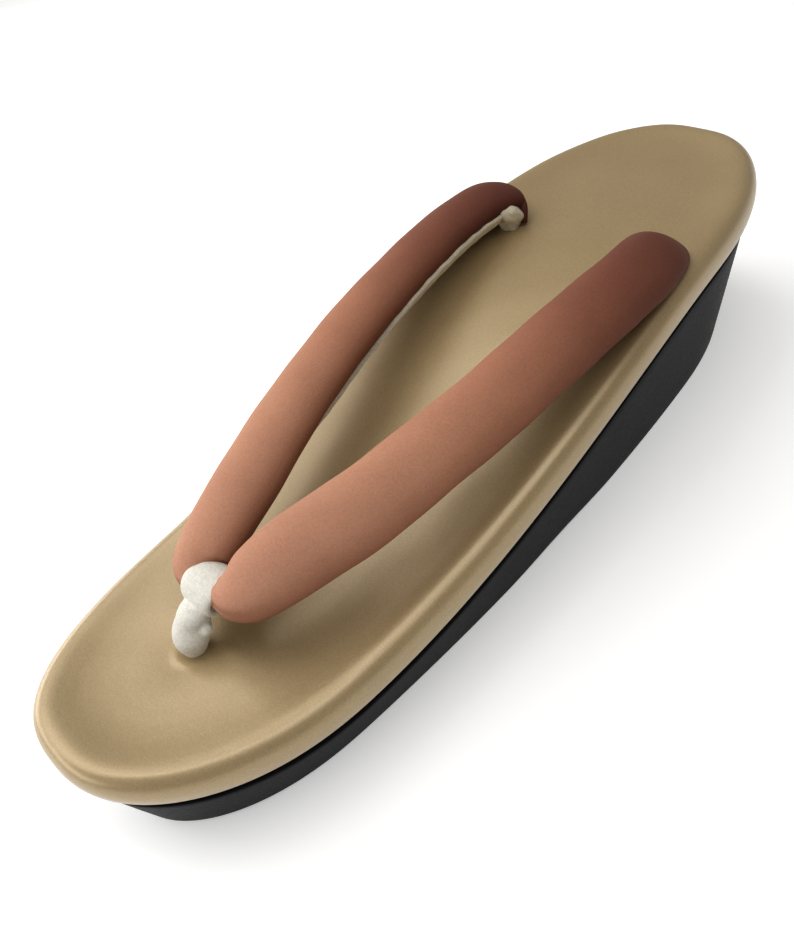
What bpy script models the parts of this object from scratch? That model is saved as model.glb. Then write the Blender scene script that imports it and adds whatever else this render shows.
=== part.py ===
"""A zori sandal in metres: toe towards -Y, heel towards +Y, up is +Z and the floor is Z = 0.

The two halves are mirror images, so the same part serves the left foot or the right.
Stations are distances from the toe tip, measured along the sandal. A height called a rise
is measured from the crest of the footbed's rolled edge at the same station.
"""

import math
from collections import namedtuple

import bmesh
import bpy
import numpy as np

# Outline of the footbed, seen from above
LENGTH = 0.240
BALL_WIDTH = 0.0720
MID_WIDTH = 0.0754
HEEL_WIDTH = 0.0672
BALL_STATION = 0.28 * LENGTH
MID_STATION = 0.56 * LENGTH
HEEL_STATION = 0.84 * LENGTH
TOE_CAP = 0.0499
TOE_SQUARENESS = 2.48
HEEL_CAP = 0.0567
HEEL_SQUARENESS = 2.60

# Heights of the footbed's crest
FRONT_HEIGHT = 0.026
BACK_HEIGHT = 0.050
RAMP_START = 0.20 * LENGTH
RAMP_END = 0.80 * LENGTH
TOE_SPRING = 0.0087
TOE_SPRING_END = 0.22 * LENGTH

# The padded board and the sole under it
FOOTBED_THICKNESS = 0.0116
EDGE_REACH = 0.0180
DISH_DEPTH = 0.0013
PIECE_GAP = 0.0003
SOLE_TOP_INSET = 0.0016
SOLE_FLOOR_INSET = 0.0048
SOLE_EDGE_ROUND = 0.0008
TOE_LIFT = 0.0022
TOE_LIFT_END = 0.24 * LENGTH
ARCH_RELIEF = 0.0010
ARCH_START = 0.40 * LENGTH
ARCH_END = 0.60 * LENGTH
GROOVE_WIDTH = 0.0030
GROOVE_DEPTH = 0.0012
GROOVE_PITCH = 0.0100
GROOVE_MARGIN = 0.0110
FRONT_GROOVES = (0.21 * LENGTH, 3)
BACK_GROOVES = (0.855 * LENGTH, 3)

# Holes for the post and for the two strap tails
POST_STATION = 0.0335
TAIL_STATION = 0.1720
TAIL_OUT = 0.0204
DENT_WIDTH = 0.0022
DENT_DEPTH = 0.0010

# Straps
STRAP_RUN = 0.1360
STRAP_SPREAD = 0.0270
STRAP_RISE = 0.0160
STRAP_HALF_WIDTH = 0.0088
STRAP_THICKNESS = 0.0125
STRAP_TILT = math.radians(20)
STRAP_TOP_SHARE = 0.56
LINING_THICKNESS = 0.0012
LINING_INNER_EDGE = 205.0
LINING_OUTER_EDGE = 262.0
LINING_START = 0.27
LINING_END = 0.88
TAIL_RADIUS = 0.0044
TAIL_RISE = 0.0064

# Toe post: a band over the straps' neck, and a stem down into the front hole
NECK_STATION = 0.0438
BAND_ROOM = 0.0008
BAND_THICKNESS = 0.0022
BAND_WIDTH = 0.0096
WAIST_WIDTH = 0.0070
STEM_RADIUS = 0.0042

# Fineness of the meshes
RIM_POINTS = 96
ROW_POINTS = 6
ARM_SECTIONS = 32
ARM_POINTS = 20
LINING_POINTS = 7
PLUG_POINTS = 24
BAND_SECTIONS = 28
BAND_POINTS = 12
GROOVE_END_POINTS = 7
OUTLINE_STEPS = 2001

# One ring of a section through the footbed's edge, from the top inwards round to the underside.
# inset: share of EDGE_REACH. dish: share of DISH_DEPTH. drop: share of FOOTBED_THICKNESS.
EdgeRing = namedtuple("EdgeRing", "inset dish drop")
FOOTBED_EDGE = (
    EdgeRing(1.000, 1.00, 0.000),
    EdgeRing(0.700, 0.77, 0.000),
    EdgeRing(0.450, 0.38, 0.000),
    EdgeRing(0.310, 0.08, 0.000),
    EdgeRing(0.215, 0.00, 0.000),
    EdgeRing(0.130, 0.00, 0.038),
    EdgeRing(0.076, 0.00, 0.110),
    EdgeRing(0.034, 0.00, 0.225),
    EdgeRing(0.009, 0.00, 0.350),
    EdgeRing(0.000, 0.00, 0.490),
    EdgeRing(0.024, 0.00, 0.690),
    EdgeRing(0.088, 0.00, 0.880),
    EdgeRing(0.180, 0.00, 1.000),
)

# One ring of a hole's flared mouth. height: share of DENT_DEPTH. out: share of DENT_WIDTH.
DentRing = namedtuple("DentRing", "height out")
DENT_RINGS = (
    DentRing(10.0, 3.70),
    DentRing(0.40, 1.00),
    DentRing(-0.30, 0.55),
    DentRing(-0.65, 0.25),
    DentRing(-1.20, 0.06),
    DentRing(-2.20, 0.00),
)

# One section of a strap arm, from the neck to the rear end. along: share of STRAP_RUN from
# NECK_STATION. out: share of STRAP_SPREAD. rise: share of STRAP_RISE. width, thick, tilt:
# shares of STRAP_HALF_WIDTH, STRAP_THICKNESS and STRAP_TILT.
ArmRow = namedtuple("ArmRow", "along out rise width thick tilt")
ARM_ROWS = (
    ArmRow(0.000, -0.06, 0.64, 0.36, 0.40, 0.0),
    ArmRow(-0.002, 0.12, 0.63, 0.50, 0.60, 0.2),
    ArmRow(0.025, 0.29, 0.68, 0.92, 1.00, 0.8),
    ArmRow(0.115, 0.42, 0.89, 0.99, 1.06, 1.0),
    ArmRow(0.225, 0.56, 1.00, 1.00, 1.03, 1.0),
    ArmRow(0.348, 0.70, 1.01, 1.00, 1.00, 1.0),
    ArmRow(0.474, 0.82, 0.92, 1.00, 1.00, 1.0),
    ArmRow(0.599, 0.90, 0.78, 1.00, 1.00, 1.0),
    ArmRow(0.720, 0.96, 0.61, 0.99, 0.98, 1.0),
    ArmRow(0.824, 1.00, 0.46, 0.98, 0.96, 1.0),
    ArmRow(0.900, 0.98, 0.37, 0.95, 0.92, 0.9),
    ArmRow(0.946, 0.92, 0.25, 0.84, 0.64, 0.6),
    ArmRow(0.972, 0.84, 0.11, 0.64, 0.24, 0.4),
)

# One ring of an upright plug. rise: share of its height above the footbed. sink: share of
# FOOTBED_THICKNESS below it. lean: share of its shift at the top. radius: share of its radius.
PlugRing = namedtuple("PlugRing", "rise sink lean radius")
STEM_RINGS = (
    PlugRing(1.060, 0.000, 0.50, 0.30),
    PlugRing(0.980, 0.000, 0.46, 0.62),
    PlugRing(0.850, 0.000, 0.40, 0.76),
    PlugRing(0.700, 0.000, 0.31, 0.84),
    PlugRing(0.480, 0.000, 0.18, 1.00),
    PlugRing(0.300, 0.000, 0.09, 0.98),
    PlugRing(0.120, 0.000, 0.03, 0.82),
    PlugRing(0.000, 0.050, 0.00, 0.68),
    PlugRing(0.000, 0.250, 0.00, 0.64),
    PlugRing(0.000, 0.875, 0.00, 0.62),
)
TAIL_RINGS = (
    PlugRing(1.000, 0.000, 0.00, 0.32),
    PlugRing(0.906, 0.000, 0.00, 0.64),
    PlugRing(0.656, 0.000, 0.00, 0.91),
    PlugRing(0.281, 0.000, 0.00, 1.00),
    PlugRing(0.000, 0.062, 0.00, 0.95),
    PlugRing(0.000, 0.188, 0.00, 0.91),
    PlugRing(0.000, 0.962, 0.00, 0.86),
)


def smooth_share(value, start, end):
    share = np.clip((value - start) / (end - start), 0.0, 1.0)
    return share * share * (3.0 - 2.0 * share)


def crest_height(station):
    """Height of the footbed's rolled crest above the floor."""
    ramp = smooth_share(station, RAMP_START, RAMP_END)
    spring = np.clip(1.0 - station / TOE_SPRING_END, 0.0, 1.0) ** 2
    return FRONT_HEIGHT + (BACK_HEIGHT - FRONT_HEIGHT) * ramp + TOE_SPRING * spring


def floor_height(station):
    """Height of the sole's underside: lifted at the toe and a little at the arch."""
    lift = TOE_LIFT * np.clip(1.0 - station / TOE_LIFT_END, 0.0, 1.0) ** 2
    arch_share = np.clip((station - ARCH_START) / (ARCH_END - ARCH_START), 0.0, 1.0)
    return lift + ARCH_RELIEF * np.sin(np.pi * arch_share) ** 2


def cap_share(distance, length, squareness):
    rest = np.clip(1.0 - distance / length, 0.0, 1.0)
    return np.clip(1.0 - rest**squareness, 0.0, 1.0) ** (1.0 / squareness)


def half_width(station):
    """Half the footbed's width: a curve through three widths, rounded off at both ends."""
    stations = (BALL_STATION, MID_STATION, HEEL_STATION)
    widths = (BALL_WIDTH, MID_WIDTH, HEEL_WIDTH)
    plain = np.polyval(np.polyfit(stations, widths, 2), station) / 2
    toe = cap_share(station, TOE_CAP, TOE_SQUARENESS)
    heel = cap_share(LENGTH - station, HEEL_CAP, HEEL_SQUARENESS)
    return plain * toe * heel


def outline():
    """Evenly spaced points of the footbed's edge from the toe tip round by the +X side."""
    angles = np.linspace(0.0, np.pi, OUTLINE_STEPS)
    stations = LENGTH * (1.0 - np.cos(angles)) / 2
    widths = half_width(stations)
    steps = np.hypot(np.diff(stations), np.diff(widths))
    run = np.concatenate([[0.0], np.cumsum(steps)])
    wanted = np.linspace(0.0, run[-1], RIM_POINTS // 2 + 1)
    side_y = np.interp(wanted, run, stations)
    side_x = np.interp(wanted, run, widths)
    side_x[0] = 0.0
    side_x[-1] = 0.0
    xs = np.concatenate([side_x, -side_x[-2:0:-1]])
    ys = np.concatenate([side_y, side_y[-2:0:-1]])
    return np.column_stack([xs, ys])


def inset(loop, distance):
    """The loop moved inwards by a distance, square to itself."""
    along = np.roll(loop, -1, axis=0) - np.roll(loop, 1, axis=0)
    along /= np.linalg.norm(along, axis=1)[:, None]
    inward = np.column_stack([-along[:, 1], along[:, 0]])
    return loop + inward * distance


def to_part(xs, stations, zs):
    return np.column_stack([xs, np.asarray(stations) - LENGTH / 2, zs])


def ring_points(loop, heights):
    return to_part(loop[:, 0], loop[:, 1], heights)


def new_object(name, points, faces):
    mesh = bpy.data.meshes.new(name)
    mesh.from_pydata([tuple(p) for p in points], [], faces)
    obj = bpy.data.objects.new(name, mesh)
    bpy.context.collection.objects.link(obj)
    edit = bmesh.new()
    edit.from_mesh(mesh)
    bmesh.ops.remove_doubles(edit, verts=edit.verts, dist=1e-6)
    bmesh.ops.recalc_face_normals(edit, faces=edit.faces)
    edit.to_mesh(mesh)
    edit.free()
    mesh.polygons.foreach_set("use_smooth", [True] * len(mesh.polygons))
    return obj


def lid(ring_start, ring, height_of, points, faces):
    """Closes a symmetric ring of the outline with rows of quads from side to side."""
    count = len(ring)
    half = count // 2
    rows = []
    for i in range(half + 1):
        left = ring[(count - i) % count]
        right = ring[i]
        if i in (0, half):
            rows.append([ring_start + i] * (ROW_POINTS + 1))
            continue
        row = [ring_start + i]
        for j in range(1, ROW_POINTS):
            x, y, z = right + (left - right) * (j / ROW_POINTS)
            row.append(len(points))
            points.append((x, y, height_of(x, y + LENGTH / 2, z)))
        row.append(ring_start + count - i)
        rows.append(row)
    for near, far in zip(rows, rows[1:]):
        for j in range(ROW_POINTS):
            quad = [near[j], near[j + 1], far[j + 1], far[j]]
            corners = list(dict.fromkeys(quad))
            if len(corners) > 2:
                faces.append(corners)


def board(name, rings, top_height, bottom_height):
    """A closed board from rings of the outline, closed above and below by lids."""
    points = [tuple(p) for ring in rings for p in ring]
    count = len(rings[0])
    faces = []
    for k in range(len(rings) - 1):
        for i in range(count):
            j = (i + 1) % count
            upper = k * count
            lower = (k + 1) * count
            faces.append([upper + i, upper + j, lower + j, lower + i])
    lid(0, rings[0], top_height, points, faces)
    lid((len(rings) - 1) * count, rings[-1], bottom_height, points, faces)
    return new_object(name, points, faces)


def loft(name, sections):
    """A closed tube through sections with equal point counts, with flat ends."""
    count = len(sections[0])
    points = [tuple(p) for section in sections for p in section]
    faces = []
    for k in range(len(sections) - 1):
        for i in range(count):
            j = (i + 1) % count
            near = k * count
            far = (k + 1) * count
            faces.append([near + i, near + j, far + j, far + i])
    faces.append(list(range(count)))
    last = (len(sections) - 1) * count
    faces.append([last + i for i in range(count)])
    return new_object(name, points, faces)


def round_sections(out, rings):
    """Level round sections from rows of station, height and radius."""
    angles = np.linspace(0.0, 2.0 * np.pi, PLUG_POINTS, endpoint=False)
    sections = []
    for station, height, radius in rings:
        xs = out + radius * np.cos(angles)
        ys = station + radius * np.sin(angles)
        sections.append(to_part(xs, ys, np.full(len(angles), height)))
    return sections


def neck_height():
    return float(crest_height(NECK_STATION)) + ARM_ROWS[0].rise * STRAP_RISE


def stem_rows():
    """Station, height and radius of the toe post's stem, leaning from its hole to the neck."""
    base = float(crest_height(POST_STATION)) - DISH_DEPTH
    rows = []
    for ring in STEM_RINGS:
        station = POST_STATION + ring.lean * (NECK_STATION - POST_STATION)
        height = base + ring.rise * (neck_height() - base) - ring.sink * FOOTBED_THICKNESS
        rows.append((station, height, ring.radius * STEM_RADIUS))
    return rows


def tail_rows():
    """Station, height and radius of the lining's gathered tail, upright in its hole."""
    base = float(crest_height(TAIL_STATION))
    rows = []
    for ring in TAIL_RINGS:
        height = base + ring.rise * TAIL_RISE - ring.sink * FOOTBED_THICKNESS
        rows.append((TAIL_STATION, height, ring.radius * TAIL_RADIUS))
    return rows


def room_for(rows):
    """The rows of a plug grown by PIECE_GAP at the top and all round."""
    grown = [(station, height, radius + PIECE_GAP) for station, height, radius in rows]
    station, height, radius = grown[0]
    grown[0] = (station, height + PIECE_GAP, radius)
    return grown


def boolean(obj, operation, other, cutters):
    """Applies an exact Boolean and puts the other shape away among the cutters."""
    modifier = obj.modifiers.new("boolean", "BOOLEAN")
    modifier.operation = operation
    modifier.solver = "EXACT"
    modifier.object = other
    graph = bpy.context.evaluated_depsgraph_get()
    result = bpy.data.meshes.new_from_object(obj.evaluated_get(graph), depsgraph=graph)
    obj.modifiers.clear()
    obj.data = result
    for collection in list(other.users_collection):
        collection.objects.unlink(other)
    cutters.objects.link(other)
    other.hide_render = True
    other.display_type = "WIRE"


def make_footbed():
    edge = outline()
    rings = []
    for part in FOOTBED_EDGE:
        loop = inset(edge, part.inset * EDGE_REACH)
        drop = part.dish * DISH_DEPTH + part.drop * FOOTBED_THICKNESS
        rings.append(ring_points(loop, crest_height(loop[:, 1]) - drop))

    def top_height(x, station, z):
        return float(crest_height(station)) - DISH_DEPTH

    def bottom_height(x, station, z):
        return float(crest_height(station)) - FOOTBED_THICKNESS

    return board("footbed", rings, top_height, bottom_height)


def make_outsole():
    edge = outline()
    top_drop = FOOTBED_THICKNESS + PIECE_GAP
    shares = (0.0, 0.25, 0.5, 0.75, 1.0)
    rings = []
    loop = inset(edge, SOLE_TOP_INSET + SOLE_EDGE_ROUND)
    rings.append(ring_points(loop, crest_height(loop[:, 1]) - top_drop))
    for share in shares:
        taper = SOLE_TOP_INSET + (SOLE_FLOOR_INSET - SOLE_TOP_INSET) * share
        loop = inset(edge, taper)
        upper = crest_height(loop[:, 1]) - top_drop - SOLE_EDGE_ROUND
        lower = floor_height(loop[:, 1]) + SOLE_EDGE_ROUND
        rings.append(ring_points(loop, upper + (lower - upper) * share))
    loop = inset(edge, SOLE_FLOOR_INSET + SOLE_EDGE_ROUND)
    rings.append(ring_points(loop, floor_height(loop[:, 1])))

    def top_height(x, station, z):
        return float(crest_height(station)) - top_drop

    def bottom_height(x, station, z):
        return float(floor_height(station))

    return board("outsole", rings, top_height, bottom_height)


def make_grooves(name):
    """One cutter for the tread: bars across the sole, rounded at their ends."""
    points = []
    faces = []
    turns = np.linspace(-np.pi / 2, np.pi / 2, GROOVE_END_POINTS)
    for first, number in (FRONT_GROOVES, BACK_GROOVES):
        for k in range(number):
            station = first + k * GROOVE_PITCH
            reach = float(half_width(station)) - GROOVE_MARGIN
            end_x = reach + GROOVE_WIDTH / 2 * np.cos(turns)
            end_y = GROOVE_WIDTH / 2 * np.sin(turns)
            xs = np.concatenate([end_x, -end_x])
            ys = station + np.concatenate([end_y, -end_y])
            count = len(xs)
            start = len(points)
            top = float(floor_height(station)) + GROOVE_DEPTH
            for z in (-GROOVE_PITCH, top):
                points.extend(tuple(p) for p in to_part(xs, ys, np.full(count, z)))
            faces.append([start + i for i in range(count)])
            faces.append([start + count + i for i in range(count)])
            for i in range(count):
                j = (i + 1) % count
                faces.append([start + i, start + j, start + count + j, start + count + i])
    return new_object(name, points, faces)


def hole_cutter(name, out, rows, rings):
    """A round drill that clears a plug, with a flared mouth that dents the footbed."""
    sunk = [row for row, ring in zip(rows, rings) if ring.sink > 0]
    station = sunk[0][0]
    radius = sunk[0][2] + PIECE_GAP
    surface = float(crest_height(station)) - DISH_DEPTH
    drill = [
        (station, surface + ring.height * DENT_DEPTH, radius + ring.out * DENT_WIDTH)
        for ring in DENT_RINGS
    ]
    drill.append((station, surface - 2 * FOOTBED_THICKNESS, radius))
    return loft(name, round_sections(out, drill))


def arm_frames():
    """Centre, outward and upward directions, half width, thickness of each arm section."""
    rows = np.array(ARM_ROWS)
    stations = NECK_STATION + rows[:, 0] * STRAP_RUN
    heights = crest_height(stations) + rows[:, 2] * STRAP_RISE
    centre = np.column_stack([rows[:, 1] * STRAP_SPREAD, stations, heights])
    tilt = rows[:, 5] * STRAP_TILT
    table = np.column_stack([centre, rows[:, 3] * STRAP_HALF_WIDTH, rows[:, 4] * STRAP_THICKNESS, tilt])
    ends = np.vstack([2 * table[0] - table[1], table, 2 * table[-1] - table[-2]])
    spans = len(table) - 1
    places = np.linspace(0.0, spans, ARM_SECTIONS)
    smooth = []
    for place in places:
        k = min(int(place), spans - 1)
        t = place - k
        a, b, c, d = ends[k : k + 4]
        bend = 2 * a - 5 * b + 4 * c - d
        twist = 3 * b - a - 3 * c + d
        smooth.append(0.5 * (2 * b + (c - a) * t + bend * t**2 + twist * t**3))
    smooth = np.array(smooth)
    path = smooth[:, :3]
    along = np.gradient(path, axis=0)
    along /= np.linalg.norm(along, axis=1)[:, None]
    level = np.cross(along, (0.0, 0.0, 1.0))
    level /= np.linalg.norm(level, axis=1)[:, None]
    above = np.cross(level, along)
    cos_tilt = np.cos(smooth[:, 5])[:, None]
    sin_tilt = np.sin(smooth[:, 5])[:, None]
    outward = level * cos_tilt - above * sin_tilt
    upward = level * sin_tilt + above * cos_tilt
    return path, outward, upward, smooth[:, 3], smooth[:, 4]


def section_reach(angle, width, thick, grow=0.0):
    """Across and up distances of a padded section's surface at an angle."""
    bulge = STRAP_TOP_SHARE if math.sin(angle) > 0 else 1.0 - STRAP_TOP_SHARE
    across = (width + grow) * math.cos(angle)
    up = (bulge * thick + grow) * math.sin(angle)
    return across, up


def arm_section(frame, k, angles_and_grow, side):
    path, outward, upward, width, thick = frame
    points = []
    for angle, grow in angles_and_grow:
        across, up = section_reach(angle, width[k], thick[k], grow)
        x, station, z = path[k] + outward[k] * across + upward[k] * up
        points.append((side * x, station - LENGTH / 2, z))
    return np.array(points)


def make_arm(name, side):
    frame = arm_frames()
    angles = np.linspace(0.0, 2.0 * np.pi, ARM_POINTS, endpoint=False)
    whole = [(float(a), 0.0) for a in angles]
    sections = [arm_section(frame, k, whole, side) for k in range(ARM_SECTIONS)]
    return loft(name, sections)


def make_lining(name, side):
    """The white cloth on the arm's underside, between two angles of its section in degrees."""
    frame = arm_frames()
    first = round(LINING_START * (ARM_SECTIONS - 1))
    last = round(LINING_END * (ARM_SECTIONS - 1))
    angles = np.radians(np.linspace(LINING_INNER_EDGE, LINING_OUTER_EDGE, LINING_POINTS))
    near = [(float(a), PIECE_GAP) for a in angles]
    far = [(float(a), PIECE_GAP + LINING_THICKNESS) for a in angles[::-1]]
    sections = [arm_section(frame, k, near + far, side) for k in range(first, last + 1)]
    return loft(name, sections)


def make_band(name, grow=0.0):
    """The loop of the toe post round the straps' neck."""
    middle = ARM_ROWS[0].thick * STRAP_THICKNESS / 2 + BAND_ROOM + BAND_THICKNESS / 2
    turns = np.linspace(0.0, 2.0 * np.pi, BAND_SECTIONS, endpoint=False)
    corners = np.linspace(0.0, 2.0 * np.pi, BAND_POINTS, endpoint=False)
    sections = []
    for turn in turns:
        lift = math.sin(turn)
        width = WAIST_WIDTH + (BAND_WIDTH - WAIST_WIDTH) * (0.5 + 0.5 * lift)
        xs = []
        reach = []
        for corner in corners:
            cos_c = math.cos(corner)
            sin_c = math.sin(corner)
            xs.append((width / 2 + grow) * math.copysign(abs(cos_c) ** 0.6, cos_c))
            reach.append((BAND_THICKNESS / 2 + grow) * math.copysign(abs(sin_c) ** 0.8, sin_c))
        radius = middle + np.array(reach)
        ys = NECK_STATION + radius * math.cos(turn)
        zs = neck_height() + radius * lift
        sections.append(to_part(np.array(xs), ys, zs))
    count = len(corners)
    points = [tuple(p) for section in sections for p in section]
    faces = []
    for k in range(len(sections)):
        near = k * count
        far = (k + 1) % len(sections) * count
        for i in range(count):
            j = (i + 1) % count
            faces.append([near + i, near + j, far + j, far + i])
    return new_object(name, points, faces)


def paint(obj, name, colour, roughness):
    material = bpy.data.materials.new(name)
    material.use_nodes = True
    shader = material.node_tree.nodes["Principled BSDF"]
    shader.inputs["Base Color"].default_value = (*colour, 1.0)
    shader.inputs["Roughness"].default_value = roughness
    obj.data.materials.clear()
    obj.data.materials.append(material)
    obj.data.polygons.foreach_set("material_index", [0] * len(obj.data.polygons))


def main():
    for obj in list(bpy.data.objects):
        bpy.data.objects.remove(obj, do_unlink=True)
    cutters = bpy.data.collections.new("cutters")
    bpy.context.scene.collection.children.link(cutters)
    cutters.hide_render = True

    stem = stem_rows()
    tail = tail_rows()
    footbed = make_footbed()
    boolean(footbed, "DIFFERENCE", hole_cutter("post_drill", 0.0, stem, STEM_RINGS), cutters)
    for side in (-1, 1):
        drill = hole_cutter(f"tail_drill_{side}", side * TAIL_OUT, tail, TAIL_RINGS)
        boolean(footbed, "DIFFERENCE", drill, cutters)

    outsole = make_outsole()
    boolean(outsole, "DIFFERENCE", make_grooves("grooves"), cutters)

    toe_post = make_band("toe_post")
    boolean(toe_post, "UNION", loft("stem", round_sections(0.0, stem)), cutters)

    straps = make_arm("straps", 1)
    boolean(straps, "UNION", make_arm("arm_left", -1), cutters)
    boolean(straps, "DIFFERENCE", make_band("band_room", PIECE_GAP), cutters)
    stem_room = loft("stem_room", round_sections(0.0, room_for(stem)))
    boolean(straps, "DIFFERENCE", stem_room, cutters)

    linings = []
    for side, name in ((-1, "lining_left"), (1, "lining_right")):
        out = side * TAIL_OUT
        tail_room = loft(f"tail_room_{side}", round_sections(out, room_for(tail)))
        boolean(straps, "DIFFERENCE", tail_room, cutters)
        lining = make_lining(name, side)
        plug = loft(f"tail_{side}", round_sections(out, tail))
        boolean(lining, "UNION", plug, cutters)
        linings.append(lining)

    paint(footbed, "gold_film", (0.51, 0.39, 0.22), 0.35)
    paint(outsole, "sole_rubber", (0.020, 0.021, 0.024), 0.55)
    paint(straps, "strap_cloth", (0.42, 0.19, 0.12), 0.85)
    for side, lining in zip(("left", "right"), linings):
        paint(lining, f"lining_cloth_{side}", (0.70, 0.65, 0.54), 0.90)
    paint(toe_post, "post_cloth", (0.82, 0.80, 0.75), 0.90)


main()
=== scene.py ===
"""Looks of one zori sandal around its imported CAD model, in metres.

The toe points to -Y, the heel to +Y, up is +Z and the floor is Z = 0. Stations are distances
from the toe tip. The sizes repeat the CAD model's; the edge's profile, the arms, the tails and
the post have finer forms of their own.
"""

import math
from collections import namedtuple

import bmesh
import bpy
import numpy as np
from mathutils import Matrix, Vector


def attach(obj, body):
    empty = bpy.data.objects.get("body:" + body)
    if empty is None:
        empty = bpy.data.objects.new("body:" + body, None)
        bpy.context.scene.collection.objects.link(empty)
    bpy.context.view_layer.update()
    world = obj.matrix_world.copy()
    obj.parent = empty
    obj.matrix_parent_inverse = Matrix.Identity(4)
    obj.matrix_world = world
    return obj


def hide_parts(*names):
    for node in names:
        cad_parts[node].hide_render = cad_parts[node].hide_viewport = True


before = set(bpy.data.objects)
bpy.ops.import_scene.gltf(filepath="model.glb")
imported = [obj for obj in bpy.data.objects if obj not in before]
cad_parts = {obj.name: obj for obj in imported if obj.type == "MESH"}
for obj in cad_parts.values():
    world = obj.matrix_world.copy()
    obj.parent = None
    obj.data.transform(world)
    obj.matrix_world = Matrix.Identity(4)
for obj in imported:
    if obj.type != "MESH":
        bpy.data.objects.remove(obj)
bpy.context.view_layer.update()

# Outline and heights of the footbed
LENGTH = 0.240
WIDTHS = ((0.28 * LENGTH, 0.0720), (0.56 * LENGTH, 0.0754), (0.84 * LENGTH, 0.0672))
TOE_CAP = 0.0499
TOE_SQUARENESS = 2.48
HEEL_CAP = 0.0567
HEEL_SQUARENESS = 2.60
FRONT_HEIGHT = 0.026
BACK_HEIGHT = 0.050
RAMP = (0.20 * LENGTH, 0.80 * LENGTH)
TOE_SPRING = 0.0087
TOE_SPRING_END = 0.22 * LENGTH
FOOTBED_THICKNESS = 0.0116
EDGE_REACH = 0.0180
DISH_DEPTH = 0.0013

# Outsole
SOLE_GAP = 0.0003
SOLE_TOP_INSET = 0.0016
SOLE_FLOOR_INSET = 0.0048
SOLE_EDGE_ROUND = 0.0008
TOE_LIFT = 0.0022
TOE_LIFT_END = 0.24 * LENGTH
ARCH_RELIEF = 0.0010
ARCH = (0.40 * LENGTH, 0.60 * LENGTH)
GROOVE_WIDTH = 0.0030
GROOVE_DEPTH = 0.0012
GROOVE_MARGIN = 0.0110
GROOVE_STATIONS = (0.0504, 0.0604, 0.0704, 0.2052, 0.2152, 0.2252)

# Holes, straps and toe post
POST_OUT = -0.0006
POST_STATION = 0.0335
TAIL_STATION = 0.1720
TAIL_OUT = 0.0204
TAIL_RADIUS = 0.0044
STRAP_RUN = 0.1360
STRAP_SPREAD = 0.0270
STRAP_RISE = 0.0160
STRAP_HALF_WIDTH = 0.0088
STRAP_THICKNESS = 0.0125
STRAP_TILT = math.radians(20)
STRAP_TOP_SHARE = 0.56
NECK_STATION = 0.0438

# How far the gathered tails lean inwards and forwards
TAIL_LEAN = {-1: (0.0006, 0.0036), 1: (-0.0012, 0.0010)}

# Hollow under the rear end of each arm, from the tail's foot: outward, rearward and upward
HOOD_CENTRE = (-0.0046, -0.0046, 0.0004)
HOOD_REACH = (0.0060, 0.0076, 0.0056)

# Rolled end of each arm's cover, point by point: distance from the middle, station, height over
# the crest and radius
HEM = (
    (0.0225, 0.1757, 0.0036, 0.0014),
    (0.0200, 0.1755, 0.0040, 0.0015),
    (0.0180, 0.1747, 0.0030, 0.0013),
    (0.0170, 0.1738, 0.0012, 0.0011),
    (0.0167, 0.1734, -0.0010, 0.0009),
)
HEM_SHIFT = {-1: (0.0, 0.0, 0.0), 1: (0.0010, -0.0030, -0.0010)}

# Fineness of the meshes; RIM_POINTS lie about RIM_SPACING apart
RIM_POINTS = 640
RIM_SPACING = 0.0009
EDGE_RINGS = 53
BED_COLUMNS = 72
SOLE_COLUMNS = 48
SOLE_ROUND_STEPS = 5
SOLE_SIDE_STEPS = 9
REFINE_CUTS = 2
ARM_SECTIONS = 260
EASE_SECTIONS = 26
ARM_POINTS = 96
STRIP_POINTS = 12
VOXEL = 0.00022

# Insets between which a ring of the footbed turns from a moved outline into a smaller one
INSET_BLEND = (0.008, 0.017)

# Depths under the crest between which the bed's relief fades out, and its waves' height
RELIEF_FADE = (0.0018, 0.0060)
BED_WAVE = 0.00005

# A soft dent in the bed, its depth and reach, with a hole of a depth between two radii
Dimple = namedtuple("Dimple", "depth reach hole inner outer")
POST_DIMPLE = Dimple(0.0005, 0.0070, 0.0030, 0.0006, 0.0019)
TAIL_DIMPLE = Dimple(0.0005, 0.0080, 0.0040, 0.0016, 0.0032)

# Lip of film ahead of the post
LIP_HEIGHT = 0.00022
LIP_DISTANCE = 0.0042
LIP_THICKNESS = 0.0011
LIP_HALF_WIDTH = 0.0030

# Where the bed's mesh is finer: across, station and radius
FINE_SPOTS = (
    (POST_OUT, POST_STATION, 0.011),
    (-TAIL_OUT, TAIL_STATION, 0.008),
    (TAIL_OUT, TAIL_STATION, 0.008),
)

# Distances from an arm's ends between which its path passes from plain to eased
EASE_FADE = (0.008, 0.028)

# Gathers and swelling of the arms, and how they rest on the dished bed
GATHER = 0.040
GATHER_REACH = 0.0080
SWELL = 0.010
FINE_SWELL = 0.006
DISH_RIM = (0.024, 0.031)
REST_CLEARANCE = 0.0001

# Edges steeper than this stay sharp round the hollow
SHARP_ANGLE = math.radians(42)

# Lining strip under an arm: the shares of the arm it runs along, its taper, the degrees round the
# section of its outer and inner edges and how far the inner one turns up between two runs
STRIP_PART = (0.22, 0.915)
STRIP_TAPER = 0.030
STRIP_OUTER = 262.0
STRIP_INNER = 236.0
STRIP_TURN = 33.0
STRIP_TURN_RUN = (0.062, 0.100)
STRIP_RIPPLE = 0.00018

# How much narrower and thinner than the arm the strip is, on its hidden side and on its shown one
# where it starts, and how much the shown one gains over the taper
STRIP_HIDDEN = (0.0022, 0.0026)
STRIP_SHOWN = (0.0014, 0.0020)
STRIP_GROWTH = (0.0023, 0.0048)

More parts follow.
